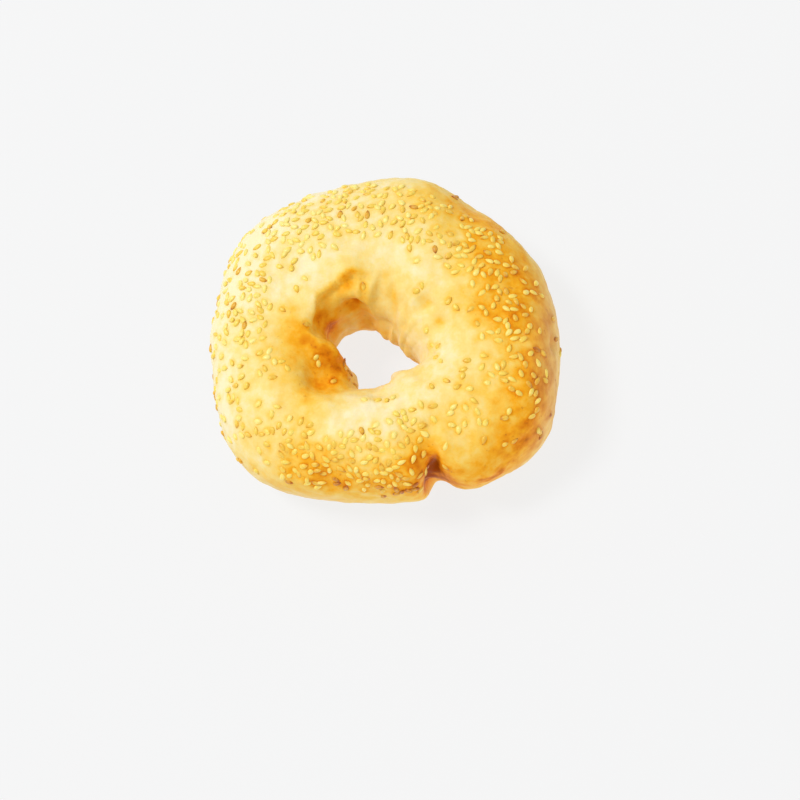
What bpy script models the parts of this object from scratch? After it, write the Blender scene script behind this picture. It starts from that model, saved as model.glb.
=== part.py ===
"""A sesame bagel, lying on its flat base with the seeded face up.

Metres, +Z up. The origin is on the surface it rests on, under the middle of its outline.
The bagel is one solid: a ring of dough whose section changes round the ring, with its larger
sesame seeds baked into the crust. Ring angles are degrees anticlockwise from +X, seen from above.
Tube angles run round the ring's section: 0 at the outer side, 90 on top, 180 in the hole, 270 below.
"""

import random

import bpy
import numpy as np
from mathutils import Matrix, Vector

MM = 0.001

# Driving dimensions
WIDTH = 110 * MM
HEIGHT = 41 * MM
HOLE_WIDTH = 18 * MM
HOLE_CENTRE = (-3.3 * MM, -6.5 * MM)
OUTER_SIDE_HEIGHT = 18 * MM  # where the ring is widest
HOLE_WAIST_HEIGHT = 19 * MM  # where the hole is narrowest
BASE_SINK = 1.06  # the round section reaches this far down before the base cuts it flat
RELIEF_FADE = 7 * MM  # relief dies away over this height, so the base stays flat

RING_STEPS = 75
TUBE_STEPS = 30
SEAM_RING = 288  # where the two ends of the dough were joined
SEAM_CROWDING = 0.5  # how much closer the steps round the ring come near the seam
LIP_TUBE = 135
LIP_CROWDING = 0.3  # how much closer the steps round the tube come near the hole's edge
NODE_NAME = "bagel"
CRUST_COLOUR = (0.78, 0.46, 0.14, 1.0)
CRUST_ROUGHNESS = 0.5

# Each lobe moves a stretch of an edge outwards: (ring angle, half width in degrees, distance)
OUTER_LOBES = (
    (10, 20, -1.1 * MM),
    (50, 22, -3.4 * MM),
    (98, 15, -1.3 * MM),
    (143, 27, 2.6 * MM),
    (180, 10, 0.8 * MM),
    (221, 23, 4.6 * MM),
    (262, 26, -4.0 * MM),
    (290, 5.5, -4.4 * MM),
    (326, 17, 4.9 * MM),
)
HOLE_LOBES = (
    (55, 14, -1.0 * MM),
    (105, 16, 1.0 * MM),
    (144, 38, 7.0 * MM),
    (196, 27, -2.4 * MM),
    (247, 22, 2.1 * MM),
    (296, 18, 1.6 * MM),
    (314, 11, -1.6 * MM),
    (348, 20, 5.5 * MM),
)

# Each dent is a soft hollow in the crust, or a swelling where its depth is negative:
# (ring angle, tube angle, radius, depth)
DENTS = (
    (28, 119, 3.2 * MM, 2.0 * MM),
    (8, 119, 3.6 * MM, 2.2 * MM),
    (111, 150, 3.2 * MM, 2.6 * MM),
    (134, 154, 4.5 * MM, -1.4 * MM),
    (158, 138, 4.0 * MM, 1.4 * MM),
    (184, 146, 5.0 * MM, -1.6 * MM),
    (186, 120, 7.0 * MM, 1.8 * MM),
    (218, 126, 5.5 * MM, 3.6 * MM),
    (234, 112, 6.0 * MM, -1.4 * MM),
    (18, 102, 4.5 * MM, -0.7 * MM),
    (352, 22, 2.2 * MM, 1.2 * MM),
    (54, 30, 7.0 * MM, 1.2 * MM),
    (308, 66, 6.0 * MM, 0.9 * MM),
    (284, 46, 7.0 * MM, -1.2 * MM),
    (305, 16, 7.0 * MM, -1.2 * MM),
    (225, 40, 6.0 * MM, 0.8 * MM),
)

# Each fold is a groove across the ring, which wanders a little and tapers to its ends:
# (tube from, tube to, ring from, ring to, bend, half width, depth)
FOLD_WANDER = 0.8  # degrees
FOLDS = (
    (-80, 62, SEAM_RING, SEAM_RING + 10, 5, 1.6 * MM, 2.4 * MM),
    (-80, 70, SEAM_RING, SEAM_RING + 10, 5, 3.8 * MM, 2.0 * MM),
    (36, 96, SEAM_RING, SEAM_RING + 18, 1, 3.2 * MM, 1.3 * MM),
    (112, 190, 68, 40, 1, 1.1 * MM, 1.4 * MM),
    (114, 200, 76, 96, 2, 1.0 * MM, 1.0 * MM),
    (114, 200, 87, 104, 1, 1.0 * MM, 1.0 * MM),
    (132, 204, 104, 111, 1, 1.2 * MM, 1.4 * MM),
    (116, 190, 52, 0, 1, 1.3 * MM, 0.8 * MM),
    (22, 72, 241, 237, 1, 1.8 * MM, 0.8 * MM),
    (8, 56, 253, 250, 1, 1.6 * MM, 0.7 * MM),
)

# The lip of the hole, a crisp edge with a hollow under it: (ring angle, tube angle, strength)
LIP = (
    (84, 121, 0.0),
    (102, 122, 1.0),
    (122, 129, 1.0),
    (136, 131, 1.0),
    (144, 135, 0.8),
    (152, 138, 0.4),
    (164, 142, 0.0),
)
LIP_RIM = 0.9 * MM
LIP_HOLLOW = 2.0 * MM
LIP_TURN = 3.6  # degrees of the tube over which the edge turns
LIP_RIM_REACH = 20
LIP_HOLLOW_REACH = 30

# Broad lumps of the dough: (waves round the ring, waves round the tube, phase, height)
LUMPS = (
    (5, 2, 0.6, 0.30 * MM),
    (7, 3, 2.1, 0.22 * MM),
    (11, 4, 4.0, 0.14 * MM),
    (17, -5, 1.2, 0.10 * MM),
)

# Sesame seeds, and where they lie: (ring from, ring to, tube from, tube to, how many)
SEED_LENGTH = 2.9 * MM
SEED_WIDTH = 1.55 * MM
SEED_THICKNESS = 1.1 * MM
SEED_SPREAD = 0.12  # the share by which one seed is longer or wider than another
SEED_TAPER = 0.28
SEED_CLUMPING = 0.5  # the share of seeds that lie close to the seed before
SEED_CLUMP = 6  # degrees
SEED_TILT = 0.16
SEED_GAP = 1.9 * MM
SEED_SINK = 0.2 * MM
SOLID_SEEDS = 180
SOLID_SEED_GAP = 3.4 * MM
SEED_DRAW = 7
SEED_PATCHES = (
    (352, 386, 38, 90, 46),
    (26, 62, 44, 92, 56),
    (62, 98, 48, 94, 60),
    (100, 136, 34, 96, 78),
    (136, 172, 28, 96, 70),
    (172, 202, 22, 96, 46),
    (202, 234, 20, 92, 26),
    (234, 262, 18, 74, 50),
    (260, 288, 16, 84, 80),
    (299, 326, 40, 92, 20),
    (326, 352, 34, 90, 32),
    (300, 380, -12, 32, 12),
    (60, 240, -14, 32, 26),
    (0, 360, 96, 136, 26),
    (150, 230, 140, 176, 6),
)


def angle_between(a, b):
    """Degrees from b to a, from -180 to 180."""
    return (a - b + 180) % 360 - 180


def smooth_step(low, high, value):
    """0 below low, 1 above high, and a smooth rise between them."""
    share = np.clip((value - low) / (high - low), 0.0, 1.0)
    return share * share * (3 - 2 * share)


def lobes(ring, table):
    """The sum at this ring angle of a table of lobes."""
    return sum(
        distance * np.exp(-((angle_between(ring, middle) / half_width) ** 2))
        for middle, half_width, distance in table
    )


def edge_radii(ring):
    """How far the outline is from the ring's centre, and the hole's wall from the hole's."""
    outer = WIDTH / 2 + lobes(ring, OUTER_LOBES)
    hole = HOLE_WIDTH / 2 + lobes(ring, HOLE_LOBES)
    return outer, hole


def outline_middle():
    """The middle of the box round the outline, which the origin lies under."""
    ring = np.arange(360)
    turn = np.radians(ring)
    outer, _ = edge_radii(ring)
    x = outer * np.cos(turn)
    y = outer * np.sin(turn)
    return (x.min() + x.max()) / 2, (y.min() + y.max()) / 2


MIDDLE_X, MIDDLE_Y = outline_middle()


def section_power(ring, tube):
    """The section's roundness: 2 is a round section, and more gives squarer shoulders."""
    turn = np.radians(tube)
    below = np.clip(-np.sin(turn), 0, None)
    above = np.sin(turn) > 0
    inner_shoulder = np.clip(-np.sin(2 * turn), 0, None) * above
    outer_shoulder = np.clip(np.sin(2 * turn), 0, None) * above
    lip = smooth_step(70, 125, ring % 360) * (1 - smooth_step(160, 205, ring % 360))
    ridge = np.exp(-((angle_between(ring, 335) / 30) ** 2))
    return 2.05 + 0.8 * below + 4.0 * lip * inner_shoulder + 0.6 * ridge * outer_shoulder


def dough_point(ring, tube):
    """A point on the ring of dough before its relief, for angles given as numbers or arrays."""
    outer, hole = edge_radii(ring)
    turn = np.radians(tube)
    power = section_power(ring, tube)
    reach = (np.abs(np.cos(turn)) ** power + np.abs(np.sin(turn)) ** power) ** (-1 / power)
    across = (1 + reach * np.cos(turn)) / 2
    rise = reach * np.sin(turn)
    side_height = HOLE_WAIST_HEIGHT + (OUTER_SIDE_HEIGHT - HOLE_WAIST_HEIGHT) * across
    over = side_height + (HEIGHT - side_height) * rise
    under = side_height * (1 + BASE_SINK * rise)
    height = np.where(rise > 0, over, np.clip(under, 0, None))
    radius = hole + (outer - hole) * across
    x = radius * np.cos(np.radians(ring)) + HOLE_CENTRE[0] * (1 - across) - MIDDLE_X
    y = radius * np.sin(np.radians(ring)) + HOLE_CENTRE[1] * (1 - across) - MIDDLE_Y
    return np.stack((x, y, height), axis=-1)


def outward(ring, tube, point=dough_point):
    """The direction straight out of a surface at these angles."""
    step = 0.5
    along = point(ring + step, tube) - point(ring - step, tube)
    around = point(ring, tube + step) - point(ring, tube - step)
    normal = np.cross(along, around)
    return normal / np.linalg.norm(normal, axis=-1, keepdims=True)


def dents(points):
    """How far the dents lower these points of the dough."""
    total = 0.0
    for ring, tube, radius, depth in DENTS:
        distance = np.linalg.norm(points - dough_point(ring, tube), axis=-1)
        total = total + depth * np.exp(-((distance / radius) ** 2))
    return total


def fold(ring, tube, points, shape):
    """How far one fold lowers these points of the dough."""
    tube_from, tube_to, ring_from, ring_to, bend, half_width, depth = shape
    share = np.clip(((tube + 90) % 360 - 90 - tube_from) / (tube_to - tube_from), 0, 1)
    middle = ring_from + (ring_to - ring_from) * share**bend + FOLD_WANDER * np.sin(9 * share)
    across = np.radians(angle_between(ring, middle)) * np.hypot(points[..., 0], points[..., 1])
    ends = smooth_step(0, 0.3, share) * (1 - smooth_step(0.6, 1, share))
    return depth * ends * np.exp(-((across / half_width / (0.4 + 0.6 * ends)) ** 2))


def lip_shares(ring, tube):
    """How much of the lip's rim, and of the hollow under it, is at these angles, from 0 to 1."""
    rings, tubes, strengths = zip(*LIP)
    past = tube % 360 - np.interp(ring % 360, rings, tubes)
    strength = np.interp(ring % 360, rings, strengths)
    inside = smooth_step(-LIP_TURN / 2, LIP_TURN / 2, past)
    rim = strength * (1 - inside) * np.exp(-((past / LIP_RIM_REACH) ** 2))
    hollow = strength * inside * np.exp(-((past / LIP_HOLLOW_REACH) ** 2))
    return rim, hollow


def lumps(ring, tube):
    """How far the broad lumps raise the dough at these angles."""
    return sum(
        height * np.sin(ring_waves * np.radians(ring) + tube_waves * np.radians(tube) + phase)
        for ring_waves, tube_waves, phase, height in LUMPS
    )


def crust_point(ring, tube):
    """A point on the solid's crust, for angles given as numbers or arrays."""
    points = dough_point(ring, tube)
    rim, hollow = lip_shares(ring, tube)
    rise = lumps(ring, tube) + LIP_RIM * rim - LIP_HOLLOW * hollow - dents(points)
    rise = rise - sum(fold(ring, tube, points, shape) for shape in FOLDS)
    rise = rise * smooth_step(0, RELIEF_FADE, points[..., 2])
    points = points + outward(ring, tube) * rise[..., None]
    points[..., 2] = np.clip(points[..., 2], 0, None)
    return points


def scatter_seeds():
    """Every seed as (place, way out of the crust, turn, tilt, length, width)."""
    draw = random.Random(SEED_DRAW)
    seeds = []
    for ring_from, ring_to, tube_from, tube_to, count in SEED_PATCHES:
        left = count
        while left > 0:
            if left < count and draw.random() < SEED_CLUMPING:
                ring = draw.gauss(ring, SEED_CLUMP)
                tube = draw.gauss(tube, SEED_CLUMP)
            else:
                ring = draw.uniform(ring_from, ring_to)
                tube = draw.uniform(tube_from, tube_to)
            turn = draw.uniform(0, 360)
            tilt = draw.gauss(0, SEED_TILT)
            length = SEED_LENGTH * (1 + draw.uniform(-SEED_SPREAD, SEED_SPREAD))
            width = SEED_WIDTH * (1 + draw.uniform(-SEED_SPREAD, SEED_SPREAD))
            place = Vector(crust_point(ring, tube))
            if all((place - seed[0]).length > SEED_GAP for seed in seeds):
                way = Vector(outward(ring, tube, crust_point))
                seeds.append((place, way, np.radians(turn), tilt, length, width))
                left -= 1
    return seeds


def seeds_for_solid(seeds):
    """The largest seeds, each clear of those already chosen."""
    chosen = []
    for seed in sorted(seeds, key=lambda one: one[4] * one[5], reverse=True):
        clear = all((seed[0] - other[0]).length > SOLID_SEED_GAP for other in chosen)
        if clear and len(chosen) < SOLID_SEEDS:
            chosen.append(seed)
    return chosen


def seed_matrix(seed):
    """Lays a seed of unit half lengths on the crust at its place, size and heading."""
    place, way, turn, tilt, length, width = seed
    lie = way.to_track_quat("Z", "X").to_matrix().to_4x4()
    heading = Matrix.Rotation(turn, 4, "Z") @ Matrix.Rotation(tilt, 4, "Y")
    size = Matrix.Diagonal((length / 2, width / 2, SEED_THICKNESS / 2, 1))
    return Matrix.Translation(place - SEED_SINK * way) @ lie @ heading @ size


def make_collection(name):
    """A new collection in the scene."""
    collection = bpy.data.collections.new(name)
    bpy.context.scene.collection.children.link(collection)
    return collection


def move_to(collection, thing):
    """Takes an object out of the collections it is in and puts it in this one."""
    for old in list(thing.users_collection):
        old.objects.unlink(thing)
    collection.objects.link(thing)


def make_dough(collection):
    """A torus primitive whose points are moved on to the bagel's crust."""
    bpy.ops.mesh.primitive_torus_add(
        major_segments=RING_STEPS,
        minor_segments=TUBE_STEPS,
        major_radius=2.0,
        minor_radius=1.0,
    )
    dough = bpy.context.object
    x, y, z = np.array([vertex.co for vertex in dough.data.vertices]).T
    ring = np.degrees(np.arctan2(y, x))
    ring -= np.degrees(SEAM_CROWDING * np.sin(np.radians(ring - SEAM_RING)))
    tube = np.degrees(np.arctan2(z, np.hypot(x, y) - 2.0))
    tube -= np.degrees(LIP_CROWDING * np.sin(np.radians(tube - LIP_TUBE)))
    dough.data.vertices.foreach_set("co", crust_point(ring, tube).ravel())
    move_to(collection, dough)
    return dough


def make_seeds(collection):
    """One object for each seed of the solid, all sharing a tapered ball of 20 faces."""
    bpy.ops.mesh.primitive_ico_sphere_add(subdivisions=1, radius=1)
    pattern = bpy.context.object
    shape = pattern.data
    for vertex in shape.vertices:
        vertex.co.y *= 1 - SEED_TAPER * vertex.co.x
    bpy.data.objects.remove(pattern)
    for number, seed in enumerate(seeds_for_solid(scatter_seeds())):
        grain = bpy.data.objects.new(f"seed_{number:03d}", shape)
        grain.matrix_world = seed_matrix(seed)
        collection.objects.link(grain)


def fuse(body, collection):
    """Joins a collection's objects to a body with one Boolean union, and removes them."""
    union = body.modifiers.new("Union", "BOOLEAN")
    union.operation = "UNION"
    union.solver = "EXACT"
    union.operand_type = "COLLECTION"
    union.collection = collection
    bpy.context.view_layer.objects.active = body
    bpy.ops.object.modifier_apply(modifier=union.name)
    for thing in list(collection.objects):
        bpy.data.objects.remove(thing)
    bpy.data.collections.remove(collection)


def make_crust_material():
    """Golden baked crust."""
    material = bpy.data.materials.new("crust")
    material.use_nodes = True
    shader = material.node_tree.nodes["Principled BSDF"]
    shader.inputs["Base Color"].default_value = CRUST_COLOUR
    shader.inputs["Roughness"].default_value = CRUST_ROUGHNESS
    shader.inputs["Metallic"].default_value = 0.0
    return material


def main():
    for old in list(bpy.data.objects):
        bpy.data.objects.remove(old)
    bagel = make_dough(make_collection("Sesame bagel"))
    bagel.name = NODE_NAME
    seeds = make_collection("Seeds to fuse")
    make_seeds(seeds)
    fuse(bagel, seeds)
    bagel.data.materials.clear()
    bagel.data.materials.append(make_crust_material())
    bagel.data.shade_smooth()
    bagel.data.set_sharp_from_angle(angle=np.radians(50))


main()
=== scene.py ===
"""The looks of a sesame bagel: its baked crust and seeds, on a pale floor in soft daylight.

Metres, +Z up, in the frame's own axes. The crust repeats the construction of the solid on a finer
grid and adds the blisters and wrinkles that baking leaves. Ring angles are degrees anticlockwise
from +X, seen from above. Tube angles run round the ring's section: 0 at the outer side, 90 on top,
180 in the hole, 270 below.
"""

import math
import random
from collections import namedtuple

import bmesh
import bpy
import numpy as np
from mathutils import Matrix, Vector, kdtree, noise


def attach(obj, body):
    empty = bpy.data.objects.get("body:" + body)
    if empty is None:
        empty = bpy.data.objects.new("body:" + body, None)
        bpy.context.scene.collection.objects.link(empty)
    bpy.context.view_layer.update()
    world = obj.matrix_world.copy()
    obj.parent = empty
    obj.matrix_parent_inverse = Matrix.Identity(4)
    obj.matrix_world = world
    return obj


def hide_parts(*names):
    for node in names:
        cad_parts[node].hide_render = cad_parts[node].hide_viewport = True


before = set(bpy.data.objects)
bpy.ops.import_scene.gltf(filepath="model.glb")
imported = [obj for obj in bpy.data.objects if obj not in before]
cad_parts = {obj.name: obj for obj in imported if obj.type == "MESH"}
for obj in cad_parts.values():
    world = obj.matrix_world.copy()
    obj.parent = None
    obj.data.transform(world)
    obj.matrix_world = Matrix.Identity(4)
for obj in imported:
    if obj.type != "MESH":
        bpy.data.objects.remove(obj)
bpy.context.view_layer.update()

MM = 0.001

# The solid's dimensions
WIDTH = 110 * MM
HEIGHT = 41 * MM
HOLE_WIDTH = 18 * MM
HOLE_CENTRE = (-3.3 * MM, -6.5 * MM)
OUTER_SIDE_HEIGHT = 18 * MM  # where the ring is widest
HOLE_WAIST_HEIGHT = 19 * MM  # where the hole is narrowest
BASE_SINK = 1.06  # how many side heights down the section would reach, were there no flat base
RELIEF_FADE = 7 * MM  # relief dies away over this height, so the base stays flat
SEAM_RING = 288  # where the two ends of the dough were joined

# The section's roundness: 2 is a round section, and what is added to it makes shoulders squarer
ROUNDNESS = 2.05
BASE_SQUARENESS = 0.8
LIP_SQUARENESS = 4.0
LIP_STAGES = (70, 125, 160, 205)  # ring angles where its shoulder starts, is full, fades and ends
RIDGE_SQUARENESS = 0.6
RIDGE_RING = 335
RIDGE_HALF_WIDTH = 30

# Each lobe moves a stretch of an edge outwards: (ring angle, half width in degrees, distance)
OUTER_LOBES = (
    (10, 20, -1.1 * MM),
    (50, 22, -3.4 * MM),
    (98, 15, -1.3 * MM),
    (143, 27, 2.6 * MM),
    (180, 10, 0.8 * MM),
    (221, 23, 4.6 * MM),
    (262, 26, -4.0 * MM),
    (290, 5.5, -4.4 * MM),
    (326, 17, 4.9 * MM),
)
HOLE_LOBES = (
    (55, 14, -1.0 * MM),
    (105, 16, 1.0 * MM),
    (144, 38, 7.0 * MM),
    (196, 27, -2.4 * MM),
    (247, 22, 2.1 * MM),
    (296, 18, 1.6 * MM),
    (314, 11, -1.6 * MM),
    (348, 20, 5.5 * MM),
)

# Each dent is a soft hollow in the crust, or a swelling where its depth is negative:
# (ring angle, tube angle, radius, depth)
DENTS = (
    (28, 119, 3.2 * MM, 2.0 * MM),
    (8, 119, 3.6 * MM, 2.2 * MM),
    (111, 150, 3.2 * MM, 2.6 * MM),
    (134, 154, 4.5 * MM, -1.4 * MM),
    (158, 138, 4.0 * MM, 1.4 * MM),
    (184, 146, 5.0 * MM, -1.6 * MM),
    (186, 120, 7.0 * MM, 1.8 * MM),
    (218, 126, 5.5 * MM, 3.6 * MM),
    (234, 112, 6.0 * MM, -1.4 * MM),
    (18, 102, 4.5 * MM, -0.7 * MM),
    (352, 22, 2.2 * MM, 1.2 * MM),
    (54, 30, 7.0 * MM, 1.2 * MM),
    (308, 66, 6.0 * MM, 0.9 * MM),
    (284, 46, 7.0 * MM, -1.2 * MM),
    (305, 16, 7.0 * MM, -1.2 * MM),
    (225, 40, 6.0 * MM, 0.8 * MM),
)

# Each fold is a groove across the ring, which wanders a little and tapers to its ends
FOLD_WANDER = 0.8  # degrees
FOLD_WANDER_TURN = 9  # radians of wandering from end to end
FOLD_STAGES = (0, 0.3, 0.6, 1)  # shares of its length where it starts, is full, fades and ends
FOLD_END_WIDTH = 0.4  # of its half width
FOLDS = (  # (tube from, tube to, ring from, ring to, bend, half width, depth)
    (-80, 62, SEAM_RING, SEAM_RING + 10, 5, 1.6 * MM, 2.4 * MM),
    (-80, 70, SEAM_RING, SEAM_RING + 10, 5, 3.8 * MM, 2.0 * MM),
    (36, 96, SEAM_RING, SEAM_RING + 18, 1, 3.2 * MM, 1.3 * MM),
    (112, 190, 68, 40, 1, 1.1 * MM, 1.4 * MM),
    (114, 200, 76, 96, 2, 1.0 * MM, 1.0 * MM),
    (114, 200, 87, 104, 1, 1.0 * MM, 1.0 * MM),
    (132, 204, 104, 111, 1, 1.2 * MM, 1.4 * MM),
    (116, 190, 52, 0, 1, 1.3 * MM, 0.8 * MM),
    (22, 72, 241, 237, 1, 1.8 * MM, 0.8 * MM),
    (8, 56, 253, 250, 1, 1.6 * MM, 0.7 * MM),
)

# The lip of the hole, a crisp edge with a hollow under it: (ring angle, tube angle, strength)
LIP = (
    (84, 121, 0.0),
    (102, 122, 1.0),
    (122, 129, 1.0),
    (136, 131, 1.0),
    (144, 135, 0.8),
    (152, 138, 0.4),
    (164, 142, 0.0),
)
LIP_RIM = 0.9 * MM  # how far the edge stands up
LIP_HOLLOW = 2.0 * MM  # how deep the hollow is
LIP_TURN = 3.6  # degrees of the tube over which the edge turns
LIP_RIM_REACH = 20  # degrees of the tube over which the edge dies away
LIP_HOLLOW_REACH = 30

# Broad lumps of the dough: (waves round the ring, waves round the tube, phase, height)
LUMPS = (
    (5, 2, 0.6, 0.30 * MM),
    (7, 3, 2.1, 0.22 * MM),
    (11, 4, 4.0, 0.14 * MM),
    (17, -5, 1.2, 0.10 * MM),
)

# The crust's fine relief
CRUST_RING_STEPS = 480
CRUST_TUBE_STEPS = 198
TORUS_RADIUS = 2.0  # of the torus that the crust is made from, whose tube's is 1
SEAM_CROWDING = 0.3  # the share by which the crust's steps lie closer together at the seam
BLISTERS = ((7.0 * MM, 0.40 * MM), (3.2 * MM, 0.26 * MM), (1.5 * MM, 0.10 * MM))  # (size, height)
CRUST_SINK = 0.3 * MM  # keeps the blisters within the solid's size
WRINKLE_HEIGHT = 0.6 * MM
WRINKLE_STAGES = (100, 135, 215, 245)  # tube angles where they start, are full, fade and end
WRINKLE_CIRCLE = 13 / 3  # the radius of the circle of noise that they follow, about 27 waves round
WRINKLE_RUN = 70  # degrees of the tube over which they change
SOCKET_RADIUS = 1.5 * MM  # the crust stands up a little round each seed
SOCKET_WIDTH = 0.7 * MM
SOCKET_HEIGHT = 0.16 * MM

# Sesame seeds, at random but the same each time
SEED_LENGTH = 2.9 * MM
SEED_WIDTH = 1.55 * MM
SEED_THICKNESS = 1.1 * MM
SEED_SPREAD = 0.12  # the share by which one seed is longer or wider than another
SEED_TAPER = 0.28  # the share by which it is slimmer towards its pointed end
SEED_POINT = 0.34  # the further share by which its tip is drawn in
SEED_CLUMPING = 0.5  # the share of seeds that lie close to the seed before
SEED_CLUMP = 6  # degrees
SEED_TILT = 0.16  # radians
SEED_GAP = 1.9 * MM
SEED_SINK = 0.2 * MM
SEED_SIDES = 12
SEED_RINGS = 8
SEEDS_BURNT = 0.02  # the share of them
LOW_SEEDS_BURNT = 0.45  # the share of those that lie low on the sides
LOW_SEED_HEIGHT = 28 * MM
BURNT_TINT = 1.5  # the others have tints from 0 to 1
SEED_CELL_MARGIN = 0.04  # of a seed's cell of the flat map
SEED_DRAW = 7
SEED_PATCHES = (  # where they lie: (ring from, ring to, tube from, tube to, how many)
    (352, 386, 38, 90, 46),
    (26, 62, 44, 92, 56),
    (62, 98, 48, 94, 60),
    (100, 136, 34, 96, 78),
    (136, 172, 28, 96, 70),
    (172, 202, 22, 96, 46),
    (202, 234, 20, 92, 26),
    (234, 262, 18, 74, 50),
    (260, 288, 16, 84, 80),
    (299, 326, 40, 92, 20),
    (326, 352, 34, 90, 32),
    (300, 380, -12, 32, 12),
    (60, 240, -14, 32, 26),
    (0, 360, 96, 136, 26),
    (150, 230, 140, 176, 6),
)

# How brown the crust is, from 0 to 1, with painted shade in the hollow under the lip and in some
# patches
PALE_TOAST = 0.12  # away from all patches
LIP_HOLLOW_TOAST_AND_SHADE = 0.40  # browning and painted shade in the hollow under the lip
ALL_ROUND = 1000  # a half width that leaves no end
TOAST_AND_SHADE_PATCHES = (  # (ring angle, tube angle, ring half width, tube half width, browning, with painted shade in some)
    (15, 48, 38, 44, 0.48),
    (345, 34, 30, 44, 0.40),
    (318, 34, 24, 36, 0.26),
    (50, 34, 26, 34, 0.44),
    (268, 26, 26, 34, 0.38),
    (245, 40, 20, 30, 0.36),
    (292, 10, 12, 34, 0.40),
    (85, 40, 26, 24, 0.10),
    (150, 18, 80, 34, -0.24),
    (0, 212, ALL_ROUND, 30, 0.40),
    (0, 275, ALL_ROUND, 40, 0.50),
    (130, -6, 24, 18, 0.22),
    (200, -4, 20, 16, 0.25),
    (238, -16, 16, 14, 0.15),
    # browning with painted shade on the slope left of the hole, which lies in shade
    (205, 146, 34, 26, 0.60),
    (184, 127, 26, 20, 0.58),
    (226, 130, 16, 16, 0.58),
    # browning with painted shade on the hole's upper left wall, darkest in its pits
    (150, 162, 30, 28, 0.40),
    (138, 158, 12, 12, 0.40),
    (112, 153, 8, 6, 0.60),
    (110, 172, 5, 16, 0.25),
    (168, 122, 9, 9, 0.24),
    (210, 151, 4, 5, 0.50),
    (227, 104, 18, 11, 0.24),
    (84, 150, 34, 30, 0.12),
    (286, 40, 10, 22, 0.46),
    # painted shade in the seam, where a shadow falls, with some browning
    (292, -6, 5, 26, 0.34),
    (80, 126, 30, 14, 0.20),
    (29, 120, 4, 6, 0.34),
    (9, 119, 4, 5, 0.38),
    # painted shade on the right-hand side, turned away from the light, with some browning
    (345, -24, 70, 30, 0.24),
    (240, 6, 22, 26, 0.24),
    # browning with painted shade in a pit of the hole's upper left wall
    (145, 152, 9, 14, 0.45),
    # browning, with warm light bounced up from beneath painted in, along the lower edge of the lobe
    # right of the seam
    (306, 4, 16, 22, 0.50),
    (328, 16, 16, 26, 0.50),
    (222, 66, 26, 30, 0.16),
    (345, 78, 30, 26, 0.10),
    (135, 62, 24, 30, -0.16),
)

# Where else shade is painted into the crust, making it darker: round the seeds, in the folds and in
# the seam
SEED_SHADE_NEAR = 1.0 * MM  # painted shade, full as near as this to the middle of a seed
SEED_SHADE_FAR = 2.1 * MM  # and not at all past this
CREASE_DEPTH = 1.6 * MM  # a fold as deep as this has its full painted shade
SEAM_SHADE_LOW = -60  # the tube angles between which the seam's painted shade grows to its full
SEAM_SHADE_HIGH = 40

# Where the glazed crust gives way to the bare sides and base, between two tube angles
BARE_TOP = 30
BARE_BOTTOM = -20
BARE_INNER_TOP = 215
BARE_INNER_BOTTOM = 265
BARE_RISE = (  # how many degrees of the tube it lies higher there: (ring angle, half width, degrees)
    # at the seam the glazed crust reaches lower, which also paints in warm light bounced up from
    # beneath
    (SEAM_RING, 32, -50),
    (346, 30, 34),
)

# How far red, green and blue light spread under the surface of crust and seeds
LIGHT_SPREAD = (2.0 * MM, 1.2 * MM, 0.6 * MM)

# The photograph's view: the bagel is 352 of its 800 pixels wide, left of and above the middle
PHOTO_WIDTH_PX = 800
BAGEL_WIDTH_PX = 352
BAGEL_LEFT_PX = 15
BAGEL_UP_PX = 60
VIEW_TILT = 21  # degrees from straight above
VIEW_AZIMUTH = -62  # degrees from +X, of the side that the camera leans to
VIEW_DISTANCE = 0.70
SENSOR_WIDTH = 36  # millimetres, as a camera has it

FLOOR_SIZE = 6
FLOOR_DROP = 0.1 * MM  # below the bagel's base, so that the two faces never coincide


def angle_between(a, b):
    """Degrees from b to a, from -180 to 180."""
    return (a - b + 180) % 360 - 180


def from_below(tube):
    """A tube angle counted from -90, below, up the outer side and over the top, to 270."""
    return (tube + 90) % 360 - 90


def smooth_step(low, high, value):
    """0 below low, 1 above high, and a smooth rise between them."""
    share = np.clip((value - low) / (high - low), 0.0, 1.0)
    return share * share * (3 - 2 * share)


def plateau(stages, value):
    """A rise from 0 to 1 between the first two stages, and a fall back between the last two."""
    start, full, fading, end = stages
    return smooth_step(start, full, value) * (1 - smooth_step(fading, end, value))


def lobes(ring, table):
    """The sum at this ring angle of a table of lobes."""
    return sum(
        distance * np.exp(-((angle_between(ring, middle) / half_width) ** 2))
        for middle, half_width, distance in table
    )


def edge_radii(ring):
    """How far the outline is from the ring's centre, and the hole's wall from the hole's."""
    outer = WIDTH / 2 + lobes(ring, OUTER_LOBES)
    hole = HOLE_WIDTH / 2 + lobes(ring, HOLE_LOBES)
    return outer, hole


def outline_middle():
    """The middle of the box round the outline, which the origin lies under."""
    ring = np.arange(360)
    turn = np.radians(ring)
    outer, _ = edge_radii(ring)
    x = outer * np.cos(turn)
    y = outer * np.sin(turn)
    return (x.min() + x.max()) / 2, (y.min() + y.max()) / 2


MIDDLE_X, MIDDLE_Y = outline_middle()


def section_power(ring, tube):
    """The power of the section's rounded square at these angles."""
    turn = np.radians(tube)
    below = np.clip(-np.sin(turn), 0, None)
    above = np.sin(turn) > 0
    inner_shoulder = np.clip(-np.sin(2 * turn), 0, None) * above
    outer_shoulder = np.clip(np.sin(2 * turn), 0, None) * above
    lip = plateau(LIP_STAGES, ring % 360)
    ridge = np.exp(-((angle_between(ring, RIDGE_RING) / RIDGE_HALF_WIDTH) ** 2))
    return (
        ROUNDNESS
        + BASE_SQUARENESS * below
        + LIP_SQUARENESS * lip * inner_shoulder
        + RIDGE_SQUARENESS * ridge * outer_shoulder
    )


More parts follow.
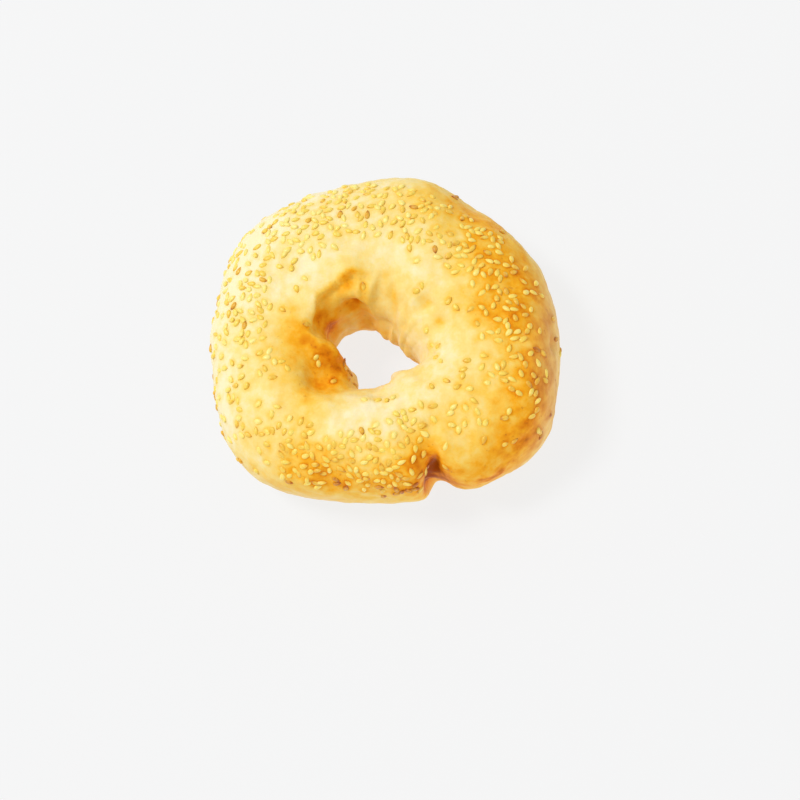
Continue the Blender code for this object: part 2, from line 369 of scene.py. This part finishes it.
def dough_point(ring, tube):
    """A point on the ring of dough before its relief, for angles given as numbers or arrays."""
    outer, hole = edge_radii(ring)
    turn = np.radians(tube)
    power = section_power(ring, tube)
    reach = (np.abs(np.cos(turn)) ** power + np.abs(np.sin(turn)) ** power) ** (-1 / power)
    across = (1 + reach * np.cos(turn)) / 2
    rise = reach * np.sin(turn)
    side_height = HOLE_WAIST_HEIGHT + (OUTER_SIDE_HEIGHT - HOLE_WAIST_HEIGHT) * across
    over = side_height + (HEIGHT - side_height) * rise
    under = side_height * (1 + BASE_SINK * rise)
    height = np.where(rise > 0, over, np.clip(under, 0, None))
    radius = hole + (outer - hole) * across
    x = radius * np.cos(np.radians(ring)) + HOLE_CENTRE[0] * (1 - across) - MIDDLE_X
    y = radius * np.sin(np.radians(ring)) + HOLE_CENTRE[1] * (1 - across) - MIDDLE_Y
    return np.stack((x, y, height), axis=-1)


def outward(ring, tube, point=dough_point):
    """The direction straight out of a surface at these angles."""
    step = 0.5  # degrees
    along = point(ring + step, tube) - point(ring - step, tube)
    around = point(ring, tube + step) - point(ring, tube - step)
    normal = np.cross(along, around)
    return normal / np.linalg.norm(normal, axis=-1, keepdims=True)


def dents(points):
    """How far the dents lower these points of the dough."""
    total = 0.0
    for ring, tube, radius, depth in DENTS:
        distance = np.linalg.norm(points - dough_point(ring, tube), axis=-1)
        total = total + depth * np.exp(-((distance / radius) ** 2))
    return total


def fold(ring, tube, points, shape):
    """How far one fold lowers these points of the dough."""
    tube_from, tube_to, ring_from, ring_to, bend, half_width, depth = shape
    share = np.clip((from_below(tube) - tube_from) / (tube_to - tube_from), 0, 1)
    wander = FOLD_WANDER * np.sin(FOLD_WANDER_TURN * share)
    middle = ring_from + (ring_to - ring_from) * share**bend + wander
    across = np.radians(angle_between(ring, middle)) * np.hypot(points[..., 0], points[..., 1])
    ends = plateau(FOLD_STAGES, share)
    width = half_width * (FOLD_END_WIDTH + (1 - FOLD_END_WIDTH) * ends)
    return depth * ends * np.exp(-((across / width) ** 2))


def lip_shares(ring, tube):
    """How much of the lip's rim, and of the hollow under it, is at these angles, from 0 to 1."""
    rings, tubes, strengths = zip(*LIP)
    past = tube % 360 - np.interp(ring % 360, rings, tubes)
    strength = np.interp(ring % 360, rings, strengths)
    inside = smooth_step(-LIP_TURN / 2, LIP_TURN / 2, past)
    rim = strength * (1 - inside) * np.exp(-((past / LIP_RIM_REACH) ** 2))
    hollow = strength * inside * np.exp(-((past / LIP_HOLLOW_REACH) ** 2))
    return rim, hollow


def lumps(ring, tube):
    """How far the broad lumps raise the dough at these angles."""
    return sum(
        height * np.sin(ring_waves * np.radians(ring) + tube_waves * np.radians(tube) + phase)
        for ring_waves, tube_waves, phase, height in LUMPS
    )


def crust_point(ring, tube):
    """A point on the solid's crust, for angles given as numbers or arrays."""
    points = dough_point(ring, tube)
    rim, hollow = lip_shares(ring, tube)
    rise = lumps(ring, tube) + LIP_RIM * rim - LIP_HOLLOW * hollow - dents(points)
    rise = rise - sum(fold(ring, tube, points, shape) for shape in FOLDS)
    rise = rise * smooth_step(0, RELIEF_FADE, points[..., 2])
    points = points + outward(ring, tube) * rise[..., None]
    points[..., 2] = np.clip(points[..., 2], 0, None)
    return points


# One seed: its place, the way out of the crust there, its turn and tilt in radians, and its size
Seed = namedtuple("Seed", ("place", "way", "turn", "tilt", "length", "width"))


def scatter_seeds():
    """Every seed, no two nearer than the gap, and many of them close to the one before."""
    draw = random.Random(SEED_DRAW)
    seeds = []
    for ring_from, ring_to, tube_from, tube_to, count in SEED_PATCHES:
        left = count
        while left > 0:
            if left < count and draw.random() < SEED_CLUMPING:
                ring = draw.gauss(ring, SEED_CLUMP)
                tube = draw.gauss(tube, SEED_CLUMP)
            else:
                ring = draw.uniform(ring_from, ring_to)
                tube = draw.uniform(tube_from, tube_to)
            turn = draw.uniform(0, 360)
            tilt = draw.gauss(0, SEED_TILT)
            length = SEED_LENGTH * (1 + draw.uniform(-SEED_SPREAD, SEED_SPREAD))
            width = SEED_WIDTH * (1 + draw.uniform(-SEED_SPREAD, SEED_SPREAD))
            place = Vector(crust_point(ring, tube))
            if all((place - seed.place).length > SEED_GAP for seed in seeds):
                way = Vector(outward(ring, tube, crust_point))
                seeds.append(Seed(place, way, np.radians(turn), tilt, length, width))
                left -= 1
    return seeds


def seed_matrix(seed):
    """Lays a seed of unit half lengths on the crust at its place, size and heading."""
    lie = seed.way.to_track_quat("Z", "X").to_matrix().to_4x4()
    heading = Matrix.Rotation(seed.turn, 4, "Z") @ Matrix.Rotation(seed.tilt, 4, "Y")
    size = Matrix.Diagonal((seed.length / 2, seed.width / 2, SEED_THICKNESS / 2, 1))
    return Matrix.Translation(seed.place - SEED_SINK * seed.way) @ lie @ heading @ size


def blister_rise(points):
    """How far the crust's small blisters raise each of these points."""
    total = np.zeros(len(points))
    for size, height in BLISTERS:
        total += [height * noise.noise(Vector(point) / size) for point in points]
    return total


def wrinkle_rise(ring, tube):
    """How far the wrinkles that run down the hole's wall raise these points."""
    waves = [
        noise.noise(Vector((WRINKLE_CIRCLE * math.cos(turn), WRINKLE_CIRCLE * math.sin(turn), run)))
        for turn, run in zip(np.radians(ring), tube / WRINKLE_RUN)
    ]
    return WRINKLE_HEIGHT * plateau(WRINKLE_STAGES, tube) * np.abs(waves)


def point_tree(points):
    """A tree that finds the nearest of these points to a place."""
    tree = kdtree.KDTree(len(points))
    for number, point in enumerate(points):
        tree.insert(point, number)
    tree.balance()
    return tree


def nearest_seed(points, seeds):
    """How far each of these points is from the middle of the nearest seed."""
    tree = point_tree([seed.place for seed in seeds])
    return np.array([tree.find(point)[2] for point in points])


def toast_and_shade_under(crust, seeds):
    """How brown the crust is under each seed, with the shade painted there."""
    tree = point_tree([vertex.co for vertex in crust.data.vertices])
    toast_and_shade_data = crust.data.attributes["toast_and_shade"].data
    return [toast_and_shade_data[tree.find(seed.place)[1]].value for seed in seeds]


def toast_and_shade(ring, tube):
    """How brown the crust is at these angles, from 0 to 1, with shade painted into some patches and
    into the hollow under the lip.
    """
    total = np.full(ring.shape, PALE_TOAST)
    for ring_middle, tube_middle, ring_half, tube_half, shade_and_browning in TOAST_AND_SHADE_PATCHES:
        ring_away = angle_between(ring, ring_middle) / ring_half
        tube_away = angle_between(tube, tube_middle) / tube_half
        patch = shade_and_browning * np.exp(-(ring_away**2 + tube_away**2))
        total = total + patch * (1 - total)
    # browning and painted shade in the hollow under the lip, from just before its edge
    _, hollow = lip_shares(ring, tube + LIP_TURN)
    return total + LIP_HOLLOW_TOAST_AND_SHADE * hollow * (1 - total)


def add_attribute(mesh, name, values):
    """A named number on each point of a mesh, which its material reads."""
    mesh.attributes.new(name, "FLOAT", "POINT").data.foreach_set("value", values)


def split_faces(mesh):
    """Splits every face of a mesh into four."""
    form = bmesh.new()
    form.from_mesh(mesh)
    bmesh.ops.subdivide_edges(form, edges=form.edges, cuts=1, use_grid_fill=True)
    form.to_mesh(mesh)
    form.free()


def make_torus():
    """A fine torus, whose primitive stops at 256 steps, so it starts with half of those here."""
    bpy.ops.mesh.primitive_torus_add(
        major_segments=CRUST_RING_STEPS // 2,
        minor_segments=CRUST_TUBE_STEPS // 2,
        major_radius=TORUS_RADIUS,
        minor_radius=1.0,
        generate_uvs=True,
    )
    torus = bpy.context.object
    torus.data.uv_layers[0].name = "OFBake"
    split_faces(torus.data)
    return torus


def torus_angles(mesh):
    """The ring and tube angles that each point of the torus stands for on the bagel."""
    x, y, z = np.array([vertex.co for vertex in mesh.vertices]).T
    ring = np.degrees(np.arctan2(y, x))
    ring -= np.degrees(SEAM_CROWDING * np.sin(np.radians(ring - SEAM_RING)))
    tube = np.degrees(np.arctan2(z, np.hypot(x, y) - TORUS_RADIUS))
    return ring % 360, tube % 360


def add_browning_and_shade(mesh, ring, tube, points, seed_distance):
    """Gives each point of the crust the numbers that its material reads: how brown it is, and where
    shade is painted.
    """
    outside = from_below(tube)
    seam, *creases = (fold(ring, tube, points, shape) for shape in FOLDS)
    seam_depth = FOLDS[0][-1]
    seam_shade_reach = smooth_step(SEAM_SHADE_LOW, SEAM_SHADE_HIGH, outside)
    bare_sides = smooth_step(BARE_TOP, BARE_BOTTOM, outside - lobes(ring, BARE_RISE))
    bare_base = smooth_step(BARE_INNER_TOP, BARE_INNER_BOTTOM, outside)
    add_attribute(mesh, "toast_and_shade", toast_and_shade(ring, tube))
    # painted shade round each seed
    add_attribute(mesh, "seed_shade", 1 - smooth_step(SEED_SHADE_NEAR, SEED_SHADE_FAR, seed_distance))
    # painted shade in the folds, darker where they are deeper
    add_attribute(mesh, "crease_shade", sum(creases) / CREASE_DEPTH)
    # painted shade in the seam
    add_attribute(mesh, "seam", (seam / seam_depth) ** 2 * seam_shade_reach)
    add_attribute(mesh, "bare", bare_sides + bare_base)


def make_crust(seeds):
    """The crust: a fine torus moved on to the bagel, with the relief that baking leaves."""
    crust = make_torus()
    crust.name = "crust"
    mesh = crust.data
    ring, tube = torus_angles(mesh)
    points = crust_point(ring, tube)
    seed_distance = nearest_seed(points, seeds)
    socket = np.exp(-(((seed_distance - SOCKET_RADIUS) / SOCKET_WIDTH) ** 2))
    rise = blister_rise(points) + wrinkle_rise(ring, tube) + SOCKET_HEIGHT * socket - CRUST_SINK
    rise *= smooth_step(0, RELIEF_FADE, points[:, 2])
    points += outward(ring, tube, crust_point) * rise[:, None]
    points[:, 2] = np.clip(points[:, 2], 0, None)
    mesh.vertices.foreach_set("co", points.ravel())
    mesh.shade_smooth()
    add_browning_and_shade(mesh, ring, tube, points, seed_distance)
    return crust


def seed_pattern():
    """One seed of unit half lengths, pointed at +X: its points, its faces and their flat map."""
    bpy.ops.mesh.primitive_uv_sphere_add(segments=SEED_SIDES, ring_count=SEED_RINGS, radius=1)
    ball = bpy.context.object
    points = []
    for vertex in ball.data.vertices:
        x, y, z = vertex.co
        narrow = 1 - SEED_TAPER * z - SEED_POINT * max(0.0, z) ** 3
        points.append((z, -y * narrow, x * narrow))
    faces = [tuple(polygon.vertices) for polygon in ball.data.polygons]
    flat = np.array([loop.uv for loop in ball.data.uv_layers[0].data])
    bpy.data.objects.remove(ball)
    return np.array(points), faces, flat


def seed_tints(seeds):
    """How dark each seed is, from 0 to 1, or burnt, as many are that lie low on the sides."""
    draw = random.Random(SEED_DRAW)
    tints = []
    for seed in seeds:
        burnt = LOW_SEEDS_BURNT if seed.place.z < LOW_SEED_HEIGHT else SEEDS_BURNT
        tints.append(draw.random() if draw.random() > burnt else BURNT_TINT)
    return tints


def make_seeds(seeds, crust):
    """All the sesame seeds as one joined mesh, each in its own cell of the flat map."""
    points, faces, flat = seed_pattern()
    columns = math.ceil(math.sqrt(len(seeds)))
    all_points = []
    all_faces = []
    all_flat = []
    for number, seed in enumerate(seeds):
        matrix = np.array(seed_matrix(seed))
        all_points.append(points @ matrix[:3, :3].T + matrix[:3, 3])
        first = number * len(points)
        all_faces.extend(tuple(first + corner for corner in face) for face in faces)
        cell = (number % columns, number // columns)
        all_flat.append((SEED_CELL_MARGIN + flat * (1 - 2 * SEED_CELL_MARGIN) + cell) / columns)
    mesh = bpy.data.meshes.new("sesame_seeds")
    mesh.from_pydata(np.concatenate(all_points), [], all_faces)
    mesh.uv_layers.new(name="OFBake").data.foreach_set("uv", np.concatenate(all_flat).ravel())
    add_attribute(mesh, "tint", np.repeat(seed_tints(seeds), len(points)))
    # each seed takes the crust's browning under it, painted shade included
    add_attribute(mesh, "toast_and_shade", np.repeat(toast_and_shade_under(crust, seeds), len(points)))
    add_attribute(mesh, "tip", np.tile(points[:, 0], len(seeds)))
    mesh.shade_smooth()
    piece = bpy.data.objects.new("sesame_seeds", mesh)
    bpy.context.scene.collection.objects.link(piece)
    return piece


def colour(red, green, blue):
    """A colour given as 0 to 255 in a picture, as the linear light that a material takes."""
    values = np.array((red, green, blue)) / 255
    linear = np.where(values <= 0.04045, values / 12.92, ((values + 0.055) / 1.055) ** 2.4)
    return (*linear, 1.0)


class Nodes:
    """Makes the nodes of one material, and joins them."""

    def __init__(self, name):
        self.material = bpy.data.materials.new(name)
        self.material.use_nodes = True
        self.tree = self.material.node_tree
        self.shader = self.tree.nodes["Principled BSDF"]
        self.place = self.add("ShaderNodeTexCoord").outputs["Object"]

    def add(self, kind, **settings):
        """A new node with these settings."""
        node = self.tree.nodes.new(kind)
        for name, value in settings.items():
            setattr(node, name, value)
        return node

    def put(self, socket, value):
        """Sets a socket to a number, or joins it to another socket."""
        if isinstance(value, bpy.types.NodeSocket):
            self.tree.links.new(value, socket)
        else:
            socket.default_value = value

    def attribute(self, name):
        """The number of this name that the mesh carries on its points."""
        return self.add("ShaderNodeAttribute", attribute_name=name).outputs["Fac"]

    def noise(self, size, detail=3.0, roughness=0.5):
        """Cloudy noise whose blobs are about this many metres across."""
        node = self.add("ShaderNodeTexNoise")
        self.put(node.inputs["Vector"], self.place)
        self.put(node.inputs["Scale"], 1 / size)
        self.put(node.inputs["Detail"], detail)
        self.put(node.inputs["Roughness"], roughness)
        return node.outputs["Fac"]

    def drift(self, size, amount, reach=0.2, **settings):
        """Cloudy noise from -amount to amount: the less its reach, the harder its edges."""
        cloud = self.noise(size, **settings)
        return self.scale(cloud, 0.5 - reach, 0.5 + reach, -amount, amount)

    def combine(self, operation, first, second, clamp):
        """Two values put together by a sum or a product."""
        node = self.add("ShaderNodeMath", operation=operation, use_clamp=clamp)
        self.put(node.inputs[0], first)
        self.put(node.inputs[1], second)
        return node.outputs[0]

    def plus(self, first, second, clamp=False):
        """The sum of two values, kept between 0 and 1 where it is clamped."""
        return self.combine("ADD", first, second, clamp)

    def times(self, first, second):
        """The product of two values."""
        return self.combine("MULTIPLY", first, second, False)

    def scale(self, value, low, high, to_low=0.0, to_high=1.0):
        """A value from low to high, spread from to_low to to_high."""
        node = self.add("ShaderNodeMapRange")
        names = ("Value", "From Min", "From Max", "To Min", "To Max")
        for name, number in zip(names, (value, low, high, to_low, to_high)):
            self.put(node.inputs[name], number)
        return node.outputs["Result"]

    def ramp(self, value, stops):
        """The colour at a value between stops of (position, colour)."""
        node = self.add("ShaderNodeValToRGB")
        elements = node.color_ramp.elements
        while len(elements) < len(stops):
            elements.new(0.5)
        for element, (position, shade) in zip(elements, stops):
            element.position = position
            element.color = shade
        self.put(node.inputs["Fac"], value)
        return node.outputs["Color"]

    def mix(self, share, first, second):
        """The first colour, with this share of it changed for the second."""
        node = self.add("ShaderNodeMix", data_type="RGBA")
        self.put(node.inputs["Factor"], share)
        self.put(node.inputs["A"], first)
        self.put(node.inputs["B"], second)
        return node.outputs["Result"]

    def bump(self, height, distance, strength):
        """Fine relief as deep as this distance, where the height goes from 0 to 1."""
        node = self.add("ShaderNodeBump")
        self.put(node.inputs["Height"], height)
        self.put(node.inputs["Distance"], distance)
        self.put(node.inputs["Strength"], strength)
        self.put(self.shader.inputs["Normal"], node.outputs["Normal"])

    def finish(self, **sockets):
        """Sets sockets of the shader, whose names are written with _ for a space."""
        for name, value in sockets.items():
            self.put(self.shader.inputs[name.replace("_", " ")], value)
        return self.material


def crust_material():
    """Baked crust: pale cream where it is least baked, through gold to toasted brown, with shade
    painted in round the seeds, in the folds and seam, under the lip and in some patches.
    """
    nodes = Nodes("crust")
    browned_and_shaded = nodes.attribute("toast_and_shade")
    clouds = nodes.drift(16 * MM, 0.11, detail=4.0)
    patches = nodes.drift(5 * MM, 0.16, reach=0.14)
    mottle = nodes.drift(3.2 * MM, 0.09, roughness=0.6)
    baked_and_shaded = nodes.plus(nodes.plus(browned_and_shaded, clouds), nodes.times(browned_and_shaded, patches))
    baked_and_shaded = nodes.plus(baked_and_shaded, mottle)
    # painted shade: darker round the seeds, in the folds and in the seam
    for name, shade_and_browning in (("seed_shade", 0.12), ("crease_shade", 0.14), ("seam", 0.55)):
        baked_and_shaded = nodes.plus(baked_and_shaded, nodes.times(nodes.attribute(name), shade_and_browning))
    baked_and_shaded = nodes.plus(baked_and_shaded, 0.0, clamp=True)
    glazed = nodes.ramp(baked_and_shaded, (
        (0.00, colour(251, 239, 196)),
        (0.20, colour(250, 225, 144)),
        (0.42, colour(250, 206, 90)),
        (0.62, colour(248, 178, 38)),
        (0.80, colour(230, 139, 16)),
        (1.00, colour(166, 80, 6)),
    ))
    bare = nodes.ramp(baked_and_shaded, (
        (0.00, colour(254, 235, 182)),
        (0.45, colour(249, 210, 130)),
        (1.00, colour(214, 142, 72)),
    ))
    shade = nodes.mix(nodes.attribute("bare"), glazed, bare)
    specks = nodes.scale(nodes.noise(1.5 * MM, 2.0), 0.66, 0.74)
    specks = nodes.times(specks, nodes.scale(baked_and_shaded, 0.25, 0.7, 0.0, 0.5))
    shade = nodes.mix(specks, shade, colour(186, 96, 30))
    nodes.bump(nodes.noise(0.7 * MM, roughness=0.6), 0.12 * MM, 0.7)
    return nodes.finish(
        Base_Color=shade,
        Roughness=nodes.scale(nodes.noise(5 * MM), 0.3, 0.7, 0.34, 0.50),
        Specular_IOR_Level=0.05,
        Subsurface_Weight=0.08,
        Subsurface_Radius=LIGHT_SPREAD,
        Subsurface_Scale=1.0,
    )


def seed_material():
    """Hulled sesame, ivory to toasted gold, browner at its pointed tip and on browner crust, and
    darker where shade is painted into the crust under it.
    """
    nodes = Nodes("seed")
    tip = nodes.scale(nodes.attribute("tip"), 0.2, 1.0, 0.0, 0.35)
    mottle = nodes.drift(1.2 * MM, 0.12)
    baked_and_shaded = nodes.plus(nodes.times(nodes.attribute("tint"), 0.45), tip)
    # the crust's browning under the seed, painted shade included
    baked_and_shaded = nodes.plus(baked_and_shaded, nodes.times(nodes.attribute("toast_and_shade"), 0.36))
    baked_and_shaded = nodes.plus(baked_and_shaded, mottle, clamp=True)
    shade = nodes.ramp(baked_and_shaded, (
        (0.00, colour(253, 239, 150)),
        (0.35, colour(250, 220, 96)),
        (0.70, colour(236, 182, 58)),
        (1.00, colour(184, 104, 28)),
    ))
    nodes.bump(nodes.noise(0.5 * MM, 2.0), 0.05 * MM, 0.6)
    return nodes.finish(
        Base_Color=shade,
        Roughness=nodes.scale(nodes.noise(2 * MM), 0.3, 0.7, 0.30, 0.45),
        Subsurface_Weight=0.1,
        Subsurface_Radius=LIGHT_SPREAD,
        Subsurface_Scale=1.0,
    )


def view_axes():
    """The photograph's right, up and backwards directions, with +Y up in the picture."""
    tilt = math.radians(VIEW_TILT)
    azimuth = math.radians(VIEW_AZIMUTH)
    back = Vector((
        math.sin(tilt) * math.cos(azimuth),
        math.sin(tilt) * math.sin(azimuth),
        math.cos(tilt),
    ))
    up = Vector((0, 1, 0))
    up = (up - up.dot(back) * back).normalized()
    return up.cross(back), up, back


RIGHT, UP, BACK = view_axes()
CENTRE = Vector((-MIDDLE_X, -MIDDLE_Y, HEIGHT / 2))


def make_camera():
    """The camera at the photograph's angle, looking down on the seeded face."""
    pixel = WIDTH / BAGEL_WIDTH_PX
    target = CENTRE + RIGHT * BAGEL_LEFT_PX * pixel - UP * BAGEL_UP_PX * pixel
    camera = bpy.data.objects.new("camera", bpy.data.cameras.new("camera"))
    camera.data.sensor_width = SENSOR_WIDTH
    camera.data.lens = SENSOR_WIDTH * VIEW_DISTANCE / (PHOTO_WIDTH_PX * pixel)
    matrix = Matrix((RIGHT, UP, BACK)).transposed().to_4x4()
    matrix.translation = target + BACK * VIEW_DISTANCE
    camera.matrix_world = matrix
    bpy.context.scene.collection.objects.link(camera)
    bpy.context.scene.camera = camera


def make_light(name, place, size, energy, shade=(1, 1, 1)):
    """A square soft light at a place beside the bagel, aimed at it."""
    light = bpy.data.objects.new(name, bpy.data.lights.new(name, "AREA"))
    light.data.color = shade
    light.data.size = size
    light.data.energy = energy
    turn = (CENTRE - place).to_track_quat("-Z", "Y").to_matrix().to_4x4()
    light.matrix_world = Matrix.Translation(place) @ turn
    bpy.context.scene.collection.objects.link(light)


def make_floor():
    """A plain pale floor."""
    bpy.ops.mesh.primitive_plane_add(size=FLOOR_SIZE, location=(0, 0, -FLOOR_DROP))
    floor = bpy.context.object
    floor.name = "floor"
    nodes = Nodes("floor")
    floor.data.materials.append(nodes.finish(
        Base_Color=colour(94, 94, 95),
        Roughness=0.9,
        Emission_Color=(0.985, 0.992, 1, 1),
        Emission_Strength=0.79,
    ))


def make_daylight():
    """Even warm light from all round, a key light from the left and a warm fill from below."""
    world = bpy.data.worlds.new("daylight")
    world.use_nodes = True
    world.node_tree.nodes["Background"].inputs["Color"].default_value = (1, 0.96, 0.89, 1)
    world.node_tree.nodes["Background"].inputs["Strength"].default_value = 0.62
    bpy.context.scene.world = world
    bpy.context.scene.view_settings.view_transform = "Standard"
    key_place = CENTRE - RIGHT * 1.5 + UP * 1.0 + BACK * 1.9
    fill_place = CENTRE + RIGHT * 0.7 - UP * 1.2 + BACK * 0.5
    make_light("key", key_place, size=0.7, energy=34.5)
    make_light("fill", fill_place, size=0.6, energy=7, shade=(1, 0.74, 0.38))


def main():
    """Makes the scene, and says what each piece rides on."""
    make_camera()
    make_daylight()
    make_floor()
    seeds = scatter_seeds()
    crust = make_crust(seeds)
    crust.data.materials.clear()
    crust.data.materials.append(crust_material())
    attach(crust, "root")
    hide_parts("bagel")
    sesame = make_seeds(seeds, crust)
    sesame.data.materials.append(seed_material())
    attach(sesame, "root")


main()
